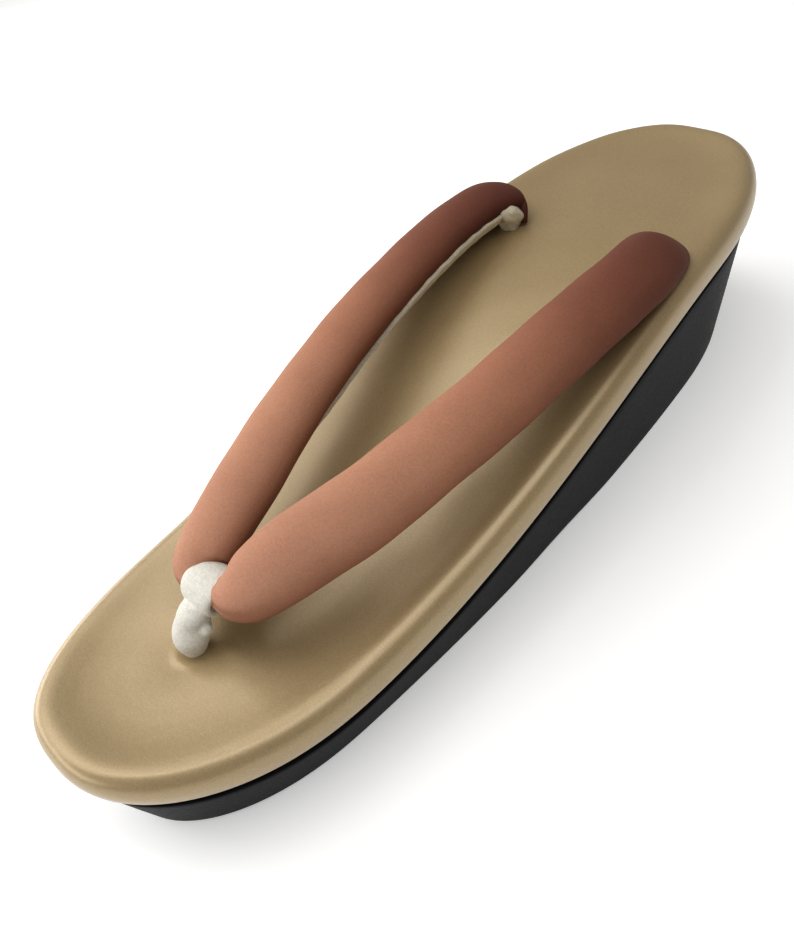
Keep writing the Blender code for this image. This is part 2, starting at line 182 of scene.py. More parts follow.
# One ring of a section through the footbed's edge: shares of EDGE_REACH, DISH_DEPTH and
# FOOTBED_THICKNESS.
EdgeRing = namedtuple("EdgeRing", "inset dish drop")
FOOTBED_EDGE = (
    EdgeRing(1.000, 1.00, 0.000),
    EdgeRing(0.760, 0.90, 0.000),
    EdgeRing(0.560, 0.66, 0.000),
    EdgeRing(0.410, 0.34, 0.000),
    EdgeRing(0.290, 0.10, 0.000),
    EdgeRing(0.195, 0.00, 0.014),
    EdgeRing(0.125, 0.00, 0.054),
    EdgeRing(0.068, 0.00, 0.132),
    EdgeRing(0.028, 0.00, 0.238),
    EdgeRing(0.006, 0.00, 0.362),
    EdgeRing(0.000, 0.00, 0.500),
    EdgeRing(0.022, 0.00, 0.690),
    EdgeRing(0.086, 0.00, 0.880),
    EdgeRing(0.180, 0.00, 1.000),
)

# One section of a strap arm, as shares of the sizes above.
ArmRow = namedtuple("ArmRow", "along out rise width thick tilt")
ARM_ROWS = (
    ArmRow(0.000, -0.06, 0.64, 0.36, 0.40, 0.0),
    ArmRow(-0.002, 0.12, 0.64, 0.48, 0.58, 0.2),
    ArmRow(0.025, 0.29, 0.74, 0.80, 0.84, 0.8),
    ArmRow(0.115, 0.42, 0.92, 0.95, 1.00, 1.0),
    ArmRow(0.225, 0.56, 1.00, 1.00, 1.03, 1.0),
    ArmRow(0.348, 0.70, 1.01, 1.00, 1.00, 1.0),
    ArmRow(0.474, 0.82, 0.92, 1.00, 1.00, 1.0),
    ArmRow(0.599, 0.90, 0.78, 1.00, 1.00, 1.0),
    ArmRow(0.720, 0.96, 0.61, 0.99, 0.98, 1.0),
    ArmRow(0.824, 1.00, 0.46, 0.98, 0.96, 1.0),
    ArmRow(0.900, 0.98, 0.37, 0.97, 0.93, 0.9),
    ArmRow(0.950, 0.94, 0.26, 0.94, 0.78, 0.8),
    ArmRow(0.980, 0.90, 0.14, 0.84, 0.54, 0.6),
    ArmRow(0.994, 0.87, 0.05, 0.62, 0.30, 0.5),
)

# How each arm lies beside those rows, one row each: metres out, back and up, and its fullness.
# The worn arms differ a little from each other.
ArmShift = namedtuple("ArmShift", "out back up grow")
ARM_SHIFTS = {
    -1: (
        ArmShift(0.0000, 0.0000, 0.0000, 1.00),
        ArmShift(0.0000, 0.0000, 0.0000, 1.00),
        ArmShift(-0.0004, 0.0000, 0.0000, 1.03),
        ArmShift(-0.0006, 0.0000, -0.0003, 1.04),
        ArmShift(-0.0003, 0.0000, -0.0003, 1.00),
        ArmShift(0.0000, 0.0000, -0.0003, 0.98),
        ArmShift(0.0000, 0.0000, -0.0003, 0.97),
        ArmShift(0.0000, 0.0000, -0.0003, 0.97),
        ArmShift(0.0000, 0.0000, -0.0003, 0.97),
        ArmShift(0.0000, 0.0000, -0.0004, 0.97),
        ArmShift(0.0000, -0.0002, -0.0005, 0.96),
        ArmShift(0.0000, -0.0003, -0.0006, 0.96),
        ArmShift(0.0000, -0.0003, -0.0004, 1.00),
        ArmShift(0.0000, -0.0003, 0.0000, 1.00),
    ),
    1: (
        ArmShift(0.0008, 0.0010, 0.0014, 1.00),
        ArmShift(0.0010, 0.0010, 0.0018, 1.00),
        ArmShift(0.0011, 0.0008, 0.0024, 1.08),
        ArmShift(0.0011, 0.0000, 0.0020, 1.06),
        ArmShift(0.0019, 0.0000, 0.0008, 1.01),
        ArmShift(0.0011, 0.0000, 0.0000, 0.99),
        ArmShift(0.0006, 0.0000, -0.0006, 0.99),
        ArmShift(0.0002, 0.0000, -0.0004, 0.99),
        ArmShift(0.0000, 0.0000, -0.0001, 1.00),
        ArmShift(0.0000, 0.0000, -0.0002, 1.00),
        ArmShift(-0.0002, -0.0010, -0.0010, 1.00),
        ArmShift(-0.0003, -0.0017, -0.0016, 0.97),
        ArmShift(-0.0002, -0.0020, -0.0012, 0.95),
        ArmShift(-0.0002, -0.0022, -0.0006, 0.95),
    ),
}

# Gathered tail of the lining, row by row: height over the crest and share of TAIL_RADIUS
TAIL_ROWS = (
    (0.0062, 0.10),
    (0.0058, 0.40),
    (0.0049, 0.66),
    (0.0037, 0.82),
    (0.0022, 0.90),
    (0.0008, 0.84),
    (-0.0010, 0.66),
    (-0.0034, 0.60),
    (-0.0050, 0.54),
)
TAIL_LEAN_HEIGHT = 0.0060

# Toe post's stem, row by row: height over the bed, metres behind the hole, across, and radius
STEM_ROWS = (
    (0.0116, 0.0056, -0.0006, 0.0020),
    (0.0104, 0.0048, -0.0007, 0.0032),
    (0.0092, 0.0041, -0.0008, 0.0036),
    (0.0078, 0.0033, -0.0010, 0.0037),
    (0.0062, 0.0026, -0.0011, 0.0042),
    (0.0044, 0.0019, -0.0010, 0.0044),
    (0.0026, 0.0013, -0.0010, 0.0040),
    (0.0010, 0.0009, -0.0009, 0.0033),
    (-0.0004, 0.0006, -0.0008, 0.0027),
    (-0.0016, 0.0002, -0.0006, 0.0018),
    (-0.0050, 0.0000, -0.0006, 0.0013),
)

# Toe post's band over the neck, wider and further right above than below
BAND_WIDTH = 0.0082
BAND_FLARE = 0.0024
BAND_OUT = -0.0004
BAND_LEAN = 0.0013
BAND_RADIUS = 0.0044
BAND_HALF_THICKNESS = 0.0012

# Small fold of cloth that stands out beside the stem
NIB_OUT = 0.0012
NIB_LENGTH = 0.0030
NIB_RADIUS = 0.0015
NIB_BACK = 0.0036
NIB_RISE = 0.0062

# Colours
GOLD_DARK = (0.395, 0.297, 0.166)
GOLD_LIGHT = (0.425, 0.322, 0.182)
RUBBER_DARK = (0.0036, 0.0039, 0.0050)
RUBBER_LIGHT = (0.0068, 0.0073, 0.0088)
LINING_LIGHT = (0.72, 0.66, 0.53)
LINING_DARK = (0.56, 0.50, 0.38)
POST_LIGHT = (0.78, 0.76, 0.70)
POST_DARK = (0.64, 0.62, 0.56)
FLOOR_GREY = (0.90, 0.90, 0.90, 1.0)
FLOOR_GLOW = (0.98, 0.99, 1.0, 1.0)
STUDIO_GLOW = (1.0, 0.97, 0.92, 1.0)
PLAIN = (1.0, 1.0, 1.0)

# Straps' dye between two stations
DYE_STATIONS = (0.040, 0.180)
DYE = (
    (0.00, (0.485, 0.260, 0.176)),
    (0.30, (0.460, 0.240, 0.156)),
    (0.50, (0.380, 0.182, 0.115)),
    (0.68, (0.240, 0.102, 0.066)),
    (0.84, (0.165, 0.063, 0.043)),
    (0.95, (0.122, 0.044, 0.032)),
    (1.00, (0.070, 0.025, 0.020)),
)

# Painted shade on the straps: darker on faces that look down than on faces that look up
PAINTED_UNDERSIDE_SHADE = (
    (0.15, (0.40, 0.32, 0.27)),
    (0.50, (0.68, 0.61, 0.56)),
    (0.85, PLAIN),
)

# Area lights, all aimed at one point
Light = namedtuple("Light", "name place size power")
LIGHT_TARGET = Vector((0.0, 0.0, 0.03))
LIGHTS = (
    Light("key", (-0.36, -0.10, 0.58), (0.58, 0.48), 2.0),
    Light("side", (-0.60, -0.22, 0.16), (0.50, 0.20), 1.4),
    Light("front", (-0.24, -0.60, 0.30), (0.70, 0.24), 1.5),
    Light("top", (0.10, 0.02, 0.62), (0.10, 0.60), 1.1),
)

# Camera
CAMERA_PLACE = Vector((0.10596, -0.10197, 0.16433))
CAMERA_RIGHT = Vector((0.720386, 0.673855, -0.164204))
CAMERA_UP = Vector((-0.424629, 0.615700, 0.663780))
CAMERA_BACK = Vector((0.548392, -0.408452, 0.729680))
CAMERA_SENSOR = 36.0
CAMERA_LENS = 29.3138
CAMERA_CLIP = 0.001

# Floor of the stage
FLOOR_SIZE = 4
FLOOR_DROP = 0.0001


def smooth_share(value, start, end):
    share = np.clip((value - start) / (end - start), 0.0, 1.0)
    return share * share * (3.0 - 2.0 * share)


def crest_height(station):
    spring = np.clip(1.0 - station / TOE_SPRING_END, 0.0, 1.0) ** 2
    ramp = smooth_share(station, *RAMP)
    return FRONT_HEIGHT + (BACK_HEIGHT - FRONT_HEIGHT) * ramp + TOE_SPRING * spring


def floor_height(station):
    lift = TOE_LIFT * np.clip(1.0 - station / TOE_LIFT_END, 0.0, 1.0) ** 2
    arch = np.clip((station - ARCH[0]) / (ARCH[1] - ARCH[0]), 0.0, 1.0)
    return lift + ARCH_RELIEF * np.sin(np.pi * arch) ** 2


def cap_share(distance, length, squareness):
    rest = np.clip(1.0 - distance / length, 0.0, 1.0)
    return np.clip(1.0 - rest**squareness, 0.0, 1.0) ** (1.0 / squareness)


def half_width(station):
    stations, widths = zip(*WIDTHS)
    plain = np.polyval(np.polyfit(stations, widths, 2), station) / 2
    toe = cap_share(station, TOE_CAP, TOE_SQUARENESS)
    heel = cap_share(LENGTH - station, HEEL_CAP, HEEL_SQUARENESS)
    return plain * toe * heel


def outline():
    """Evenly spaced points of the footbed's edge from the toe tip round by the +X side."""
    stations = LENGTH * (1.0 - np.cos(np.linspace(0.0, np.pi, 8001))) / 2
    widths = half_width(stations)
    run = np.concatenate([[0.0], np.cumsum(np.hypot(np.diff(stations), np.diff(widths)))])
    wanted = np.linspace(0.0, run[-1], RIM_POINTS // 2 + 1)
    ys = np.interp(wanted, run, stations)
    xs = np.interp(wanted, run, widths)
    xs[0] = 0.0
    xs[-1] = 0.0
    across = np.concatenate([xs, -xs[-2:0:-1]])
    return np.column_stack([across, np.concatenate([ys, ys[-2:0:-1]])])


def smoothed(rows, reach, mode):
    """Rows averaged with their neighbours; the mode says what lies beyond the ends."""
    kernel = np.hanning(2 * reach + 3)[1:-1]
    kernel /= kernel.sum()
    padded = np.pad(rows, ((reach, reach), (0, 0)), mode=mode)
    return np.column_stack([np.convolve(column, kernel, "valid") for column in padded.T])


def inset(loop, distance):
    """The loop moved inwards; a deep one turns into a smaller outline so that it doesn't fold."""
    along = np.roll(loop, -1, axis=0) - np.roll(loop, 1, axis=0)
    inward = np.column_stack([-along[:, 1], along[:, 0]])
    inward /= np.linalg.norm(inward, axis=1)[:, None]
    reach = int(round(distance / RIM_SPACING))
    if reach > 1:
        inward = smoothed(inward, reach, "wrap")
    moved = loop + inward * distance
    middle = np.array([0.0, LENGTH / 2])
    half_size = np.array([max(width for _, width in WIDTHS) / 2, LENGTH / 2])
    scaled = middle + (loop - middle) * (1.0 - distance / half_size)
    return moved + (scaled - moved) * smooth_share(distance, *INSET_BLEND)


def spline(table, count):
    """Points of a Catmull-Rom curve through a table's rows, evenly spaced when counted in rows."""
    table = np.asarray(table, float)
    ends = np.vstack([2 * table[0] - table[1], table, 2 * table[-1] - table[-2]])
    places = np.clip(np.linspace(0.0, len(table) - 1, count), 0.0, len(table) - 1 - 1e-9)
    k = places.astype(int)
    t = (places - k)[:, None]
    a, b, c, d = ends[k], ends[k + 1], ends[k + 2], ends[k + 3]
    bend = 2 * a - 5 * b + 4 * c - d
    twist = 3 * b - a - 3 * c + d
    return 0.5 * (2 * b + (c - a) * t + bend * t**2 + twist * t**3)


def circle(count):
    """Evenly spaced angles of one full turn."""
    return np.linspace(0.0, 2.0 * np.pi, count, endpoint=False)


def grid(xs, ys, zs):
    """Sections of points from their coordinates, which may lack an axis."""
    return np.stack(np.broadcast_arrays(xs, ys, zs), axis=-1)


def cross_directions(path, reference):
    """Sideways and upward directions at each point of a path."""
    along = np.gradient(path, axis=0)
    along /= np.linalg.norm(along, axis=1)[:, None]
    level = np.cross(along, reference)
    level /= np.linalg.norm(level, axis=1)[:, None]
    return level, np.cross(level, along)


def new_object(name, points, faces):
    mesh = bpy.data.meshes.new(name)
    mesh.from_pydata([tuple(p) for p in points], [], faces)
    obj = bpy.data.objects.new(name, mesh)
    bpy.context.scene.collection.objects.link(obj)
    edit = bmesh.new()
    edit.from_mesh(mesh)
    bmesh.ops.remove_doubles(edit, verts=edit.verts, dist=1e-6)
    bmesh.ops.recalc_face_normals(edit, faces=edit.faces)
    edit.to_mesh(mesh)
    edit.free()
    mesh.polygons.foreach_set("use_smooth", [True] * len(mesh.polygons))
    return obj


def get_points(obj):
    points = np.zeros(len(obj.data.vertices) * 3)
    obj.data.vertices.foreach_get("co", points)
    return points.reshape(-1, 3)


def set_points(obj, points):
    obj.data.vertices.foreach_set("co", np.asarray(points, np.float32).ravel())
    obj.data.update()


def tube_faces(sections, count, closed=False):
    """Quads between neighbouring sections of a tube."""
    faces = []
    last = sections if closed else sections - 1
    for k in range(last):
        near = k * count
        far = (k + 1) % sections * count
        for i in range(count):
            j = (i + 1) % count
            faces.append((near + i, near + j, far + j, far + i))
    return faces


def loft(name, sections):
    """A closed tube through sections, each end closed by a fan."""
    sections = np.asarray(sections)
    number, count = sections.shape[:2]
    points = np.vstack([sections.reshape(-1, 3), sections[0].mean(0), sections[-1].mean(0)])
    faces = tube_faces(number, count)
    first = number * count
    last = (number - 1) * count
    for i in range(count):
        j = (i + 1) % count
        faces.append((first, j, i))
        faces.append((first + 1, last + i, last + j))
    return new_object(name, points, faces)


def board(name, rings, columns):
    """A closed board from rings of the outline, each side closed by rows of quads."""
    count = len(rings[0])
    half = count // 2
    points = [p for ring in rings for p in ring]
    faces = tube_faces(len(rings), count)
    for start, ring in ((0, rings[0]), ((len(rings) - 1) * count, rings[-1])):
        rows = []
        for i in range(half + 1):
            left = ring[(count - i) % count]
            row = [start + i]
            for j in range(1, columns):
                row.append(row[0] if i in (0, half) else len(points))
                if i not in (0, half):
                    points.append(ring[i] + (left - ring[i]) * (j / columns))
            row.append(start + (count - i) % count)
            rows.append(row)
        for near, far in zip(rows, rows[1:]):
            for j in range(columns):
                corners = list(dict.fromkeys((near[j], near[j + 1], far[j + 1], far[j])))
                if len(corners) > 2:
                    faces.append(corners)
    return new_object(name, points, faces)


def refine(obj, near):
    """Cuts the faces whose middle is inside a given region into smaller ones."""
    edit = bmesh.new()
    edit.from_mesh(obj.data)
    edges = set()
    for face in edit.faces:
        if near(face.calc_center_median()):
            edges.update(face.edges)
    bmesh.ops.subdivide_edges(edit, edges=list(edges), cuts=REFINE_CUTS, use_grid_fill=True)
    edit.to_mesh(obj.data)
    edit.free()
    obj.data.polygons.foreach_set("use_smooth", [True] * len(obj.data.polygons))


def join(first, *others):
    """Joins objects into the first one."""
    bpy.ops.object.select_all(action="DESELECT")
    for obj in (first, *others):
        obj.select_set(True)
    bpy.context.view_layer.objects.active = first
    bpy.ops.object.join()


def dimple_depth(distance, dimple):
    """Depth of a dimple at a distance from its middle."""
    dent = dimple.depth * np.exp(-((distance / dimple.reach) ** 2))
    return dent + dimple.hole * (1.0 - smooth_share(distance, dimple.inner, dimple.outer))


def bed_relief(x, station):
    """Soft dents round the post and the strap tails, and the film's slight unevenness."""
    post = np.hypot(x - POST_OUT, (station - POST_STATION) * 1.05)
    lip = np.exp(-(((post - LIP_DISTANCE) / LIP_THICKNESS) ** 2))
    lip *= np.exp(-(((x - POST_OUT) / LIP_HALF_WIDTH) ** 2))
    relief = LIP_HEIGHT * lip * (station < POST_STATION) - dimple_depth(post, POST_DIMPLE)
    for side in (-1, 1):
        tail = np.hypot(x - side * TAIL_OUT, station - TAIL_STATION)
        relief -= dimple_depth(tail, TAIL_DIMPLE)
    waves = np.sin(210 * x + 60 * station + 0.8) * np.sin(95 * station + 120 * x)
    waves += 0.6 * np.sin(330 * station - 260 * x + 2.0) * np.sin(170 * x + 1.0)
    return relief + BED_WAVE * waves


def make_bed():
    edge = outline()
    rings = []
    for share, dish, drop in spline(FOOTBED_EDGE, EDGE_RINGS):
        loop = inset(edge, max(share, 0.0) * EDGE_REACH)
        heights = crest_height(loop[:, 1]) - dish * DISH_DEPTH - drop * FOOTBED_THICKNESS
        rings.append(np.column_stack([loop[:, 0], loop[:, 1] - LENGTH / 2, heights]))
    bed = board("bed", rings, BED_COLUMNS)

    def near(middle):
        station = middle.y + LENGTH / 2
        if middle.z < float(crest_height(station)) - FOOTBED_THICKNESS / 2:
            return False
        return any(math.hypot(middle.x - x, station - s) < r for x, s, r in FINE_SPOTS)

    refine(bed, near)
    points = get_points(bed)
    stations = points[:, 1] + LENGTH / 2
    depth = crest_height(stations) - points[:, 2]
    on_top = 1.0 - smooth_share(depth, *RELIEF_FADE)
    points[:, 2] += on_top * bed_relief(points[:, 0], stations)
    set_points(bed, points)
    return bed


def make_sole():
    edge = outline()
    top_drop = FOOTBED_THICKNESS + SOLE_GAP
    rings = []
    turns = np.linspace(0.0, np.pi / 2, SOLE_ROUND_STEPS)
    levels = [("top", t) for t in turns]
    levels += [("side", s) for s in np.linspace(0.1, 0.9, SOLE_SIDE_STEPS)]
    levels += [("floor", t) for t in turns]
    for kind, value in levels:
        if kind == "top":
            out = SOLE_TOP_INSET + SOLE_EDGE_ROUND * (1.0 - math.sin(value))
            loop = inset(edge, out)
            drop = top_drop + SOLE_EDGE_ROUND * (1.0 - math.cos(value))
            heights = crest_height(loop[:, 1]) - drop
        elif kind == "floor":
            out = SOLE_FLOOR_INSET + SOLE_EDGE_ROUND * (1.0 - math.cos(value))
            loop = inset(edge, out)
            heights = floor_height(loop[:, 1]) + SOLE_EDGE_ROUND * (1.0 - math.sin(value))
        else:
            loop = inset(edge, SOLE_TOP_INSET + (SOLE_FLOOR_INSET - SOLE_TOP_INSET) * value)
            upper = crest_height(loop[:, 1]) - top_drop - SOLE_EDGE_ROUND
            lower = floor_height(loop[:, 1]) + SOLE_EDGE_ROUND
            heights = upper + (lower - upper) * value
        rings.append(np.column_stack([loop[:, 0], loop[:, 1] - LENGTH / 2, heights]))
    sole = board("sole", rings, SOLE_COLUMNS)

    def in_groove(x, station, extra):
        """Whether a point is in a groove or at most the extra distance beside it."""
        reach = GROOVE_WIDTH / 2 + extra
        for middle in GROOVE_STATIONS:
            if abs(station - middle) < reach:
                return abs(x) < float(half_width(middle)) - GROOVE_MARGIN + reach
        return False

    def near(middle):
        station = middle.y + LENGTH / 2
        low = middle.z < float(floor_height(station)) + SOLE_EDGE_ROUND / 2
        return low and in_groove(middle.x, station, 0.0012)

    refine(sole, near)
    points = get_points(sole)
    stations = points[:, 1] + LENGTH / 2
    low = points[:, 2] < floor_height(stations) + 0.0001
    for middle in GROOVE_STATIONS:
        reach = float(half_width(middle)) - GROOVE_MARGIN
        beyond = np.maximum(np.abs(points[:, 0]) - reach, 0.0)
        away = np.hypot(stations - middle, beyond)
        inside = 1.0 - smooth_share(away, GROOVE_WIDTH / 2 - 0.0003, GROOVE_WIDTH / 2 + 0.0001)
        points[:, 2] += np.where(low, GROOVE_DEPTH * inside, 0.0)
    set_points(sole, points)
    return sole


def arm_frames(side):
    """Centre, outward, upward, half width, thickness and run of each arm section."""
    table = np.array(ARM_ROWS)
    shift = np.array(ARM_SHIFTS[side])
    stations = NECK_STATION + table[:, 0] * STRAP_RUN
    heights = crest_height(stations) + table[:, 2] * STRAP_RISE + shift[:, 2]
    full = np.column_stack(
        [
            table[:, 1] * STRAP_SPREAD + shift[:, 0],
            stations + shift[:, 1],
            heights,
            table[:, 3] * STRAP_HALF_WIDTH * shift[:, 3],
            table[:, 4] * STRAP_THICKNESS * shift[:, 3],
            table[:, 5] * STRAP_TILT,
        ]
    )
    fine = spline(full, 40 * len(full))
    steps = np.linalg.norm(np.diff(fine[:, :3], axis=0), axis=1)
    run = np.concatenate([[0.0], np.cumsum(steps)])
    wanted = np.linspace(0.0, run[-1], ARM_SECTIONS)
    rows = np.column_stack([np.interp(wanted, run, column) for column in fine.T])
    from_end = np.minimum(wanted, run[-1] - wanted)
    away = smooth_share(from_end, *EASE_FADE)[:, None]
    rows += (smoothed(rows, EASE_SECTIONS, "edge") - rows) * away
    path = rows[:, :3]
    level, above = cross_directions(path, (0.0, 0.0, 1.0))
    cos_tilt = np.cos(rows[:, 5])[:, None]
    sin_tilt = np.sin(rows[:, 5])[:, None]
    outward = level * cos_tilt - above * sin_tilt
    upward = level * sin_tilt + above * cos_tilt
    return path, outward, upward, rows[:, 3], rows[:, 4], wanted


def reach_of(angles, width, thick):
    """Across and up distances of a padded section's surface: round on top, flatter below."""
    bulge = np.where(np.sin(angles) > 0, STRAP_TOP_SHARE, 1.0 - STRAP_TOP_SHARE)
    return width[:, None] * np.cos(angles), bulge * thick[:, None] * np.sin(angles)


def place(frames, across, up, side):
    """Points of the sections from their across and up distances."""
    path, outward, upward = frames[:3]
    points = path[:, None] + outward[:, None] * across[..., None] + upward[:, None] * up[..., None]
    points[..., 0] *= side
    points[..., 1] -= LENGTH / 2
    return points


def make_arm(name, side):
    frames = arm_frames(side)
    width, thick, run = frames[3:]
    angles = circle(ARM_POINTS)
    across, up = reach_of(angles, width, thick)
    run = run[:, None]
    # Gathers where the cloth is drawn together at the neck
    folds = np.sin(6 * angles + 2.1 * side + 60 * run) + 0.6 * np.sin(11 * angles + 1.3 - 110 * run)
    gather = 1.0 + GATHER * folds * np.exp(-((run / GATHER_REACH) ** 2))
    # The roll's slow swelling along its length
    swell = 1.0 + SWELL * np.sin(run * 190 + side) * np.sin(angles + 0.7)
    swell += FINE_SWELL * np.sin(run * 410 + 2 * angles)
    scale = gather * swell
    sections = place(frames, across * scale, up * scale, side)
    stations = sections[..., 1] + LENGTH / 2
    dished = 1.0 - smooth_share(np.abs(sections[..., 0]), *DISH_RIM)
    bed = crest_height(stations) - DISH_DEPTH * dished
    sections[..., 2] = np.maximum(sections[..., 2], bed + REST_CLEARANCE)
    arm = loft(name, sections)
    open_hood(arm, side)
    join(arm, make_hem(side))
    return arm


def make_hem(side):
    """The rolled end of the cover, from the arm's rear end down to the bed behind the tail."""
    path = spline(HEM, 28)
    centres = (path[:, :3] + HEM_SHIFT[side]) * (side, 1.0, 1.0)
    centres[:, 2] += crest_height(centres[:, 1])
    centres[:, 1] -= LENGTH / 2
    level, above = cross_directions(centres, (0.0, 1.0, 0.0))
    angles = circle(24)[:, None]
    cos_turn = np.cos(angles)
    sin_turn = np.sin(angles)
    rings = [
        centre + radius * (across * cos_turn + up * sin_turn)
        for centre, radius, across, up in zip(centres, path[:, 3], level, above)
    ]
    return loft("hem", rings)


def open_hood(arm, side):
    """Hollows the arm's rear end on its inner side, where the lining's tail comes out."""
    bpy.ops.mesh.primitive_uv_sphere_add(segments=48, ring_count=24, radius=1.0)
    pocket = bpy.context.object
    points = get_points(pocket) * HOOD_REACH
    points[:, 2] += float(crest_height(TAIL_STATION)) + HOOD_CENTRE[2]
    points[:, 0] += side * (TAIL_OUT + HOOD_CENTRE[0])
    points[:, 1] += TAIL_STATION - LENGTH / 2 + HOOD_CENTRE[1]
    set_points(pocket, points)
    hollow = arm.modifiers.new("hood", "BOOLEAN")
    hollow.operation = "DIFFERENCE"
    hollow.solver = "EXACT"
    hollow.object = pocket
    apply_modifiers(arm)
    bpy.data.objects.remove(pocket)
    arm.data.set_sharp_from_angle(angle=SHARP_ANGLE)


def make_strip(name, side):
    """The lining's strip along the underside of an arm."""
    start, end = STRIP_PART
    part = slice(int(start * ARM_SECTIONS), int(end * ARM_SECTIONS))
    frames = tuple(values[part] for values in arm_frames(side))
    width, thick, run = frames[3:]
    fade = smooth_share(run - run[0], 0.0, STRIP_TAPER)
    ripple = STRIP_RIPPLE * np.sin(run * 900 + 0.6 * np.sin(run * 310))[:, None]
    inner = (STRIP_INNER - STRIP_TURN * smooth_share(run, *STRIP_TURN_RUN))[:, None]
    shares = np.linspace(0.0, 1.0, STRIP_POINTS)
    angles = np.radians(inner + (STRIP_OUTER - inner) * shares)
    upper = reach_of(angles, width - STRIP_HIDDEN[0], thick - STRIP_HIDDEN[1])
    shown_width = width - STRIP_SHOWN[0] + STRIP_GROWTH[0] * fade
    shown_thick = thick - STRIP_SHOWN[1] + STRIP_GROWTH[1] * fade
    lower = reach_of(angles[:, ::-1], shown_width, shown_thick)
    across = np.hstack([upper[0], lower[0] - ripple * shares])
    up = np.hstack([upper[1], lower[1] + ripple * shares])
    return loft(name, place(frames, across, up, side))


def make_tail(name, side):
    """The lining's gathered end, crumpled into a short plug that goes down its hole."""
    fine = spline(TAIL_ROWS, 60)
    angles = circle(72)
    base = float(crest_height(TAIL_STATION))
    heights = fine[:, :1]
    folds = 0.055 * np.sin(5 * angles + 400 * heights + side)
    folds += 0.025 * np.sin(9 * angles - 700 * heights)
    folds += 0.03 * np.sin(1300 * heights + 2 * angles)
    radius = fine[:, 1:] * TAIL_RADIUS * (1.0 + folds)
    lean = smooth_share(heights, 0.0, TAIL_LEAN_HEIGHT)
    inward, forward = TAIL_LEAN[side]
    xs = side * (TAIL_OUT - inward * lean) + radius * np.cos(angles)
    ys = TAIL_STATION - LENGTH / 2 - forward * lean + radius * np.sin(angles) * 1.05
    zs = base + heights + 0.0003 * np.sin(3 * angles + side)
    return loft(name, grid(xs, ys, zs))


def squared(wave, power):
    """A sine or cosine flattened at its ends, for sections with rounded corners."""
    return np.sign(wave) * np.abs(wave) ** power


def make_post():
    """The toe post: a band over the neck and a stem, fused into one lumpy piece of cloth."""
    neck = float(crest_height(NECK_STATION)) + ARM_ROWS[0].rise * STRAP_RISE
    bed = float(crest_height(POST_STATION)) - DISH_DEPTH
    corners = circle(20)
    reach = BAND_RADIUS + BAND_HALF_THICKNESS * squared(np.sin(corners), 0.8)
    sections = []
    for turn in circle(48):
        lift = math.sin(turn)
        width = BAND_WIDTH + BAND_FLARE * (0.5 + 0.5 * lift)
        shift = BAND_OUT - BAND_LEAN * (0.5 - 0.5 * lift)
        xs = shift + width / 2 * squared(np.cos(corners), 0.7)
        ys = NECK_STATION - LENGTH / 2 + reach * math.cos(turn)
        sections.append(np.column_stack([xs, ys, neck + reach * lift]))
    faces = tube_faces(len(sections), len(corners), True)
    band = new_object("post", np.vstack(sections), faces)
    rise, back, out, radius = (column[:, None] for column in spline(STEM_ROWS, 40).T)
    angles = circle(40)
    xs = out + radius * np.cos(angles)
    ys = POST_STATION - LENGTH / 2 + back + radius * np.sin(angles)
    stem = loft("stem", grid(xs, ys, bed + rise))
    turns = np.linspace(0.0, np.pi, 12)[:, None]
    radius = NIB_RADIUS * np.sin(turns)
    xs = NIB_OUT + NIB_LENGTH * (1 - np.cos(turns)) / 2
    ys = POST_STATION - LENGTH / 2 + NIB_BACK + radius * np.cos(angles)
    nib = loft("nib", grid(xs, ys, bed + NIB_RISE + radius * np.sin(angles)))
    join(band, stem, nib)
    remesh = band.modifiers.new("fuse", "REMESH")
    remesh.mode = "VOXEL"
    remesh.voxel_size = VOXEL
    remesh.use_smooth_shade = True
    soften = band.modifiers.new("soften", "SMOOTH")
    soften.factor = 0.6
    soften.iterations = 9
    apply_modifiers(band)
    return band


def apply_modifiers(obj):
    graph = bpy.context.evaluated_depsgraph_get()
    result = bpy.data.meshes.new_from_object(obj.evaluated_get(graph), depsgraph=graph)
    obj.modifiers.clear()
    obj.data = result
    result.polygons.foreach_set("use_smooth", [True] * len(result.polygons))


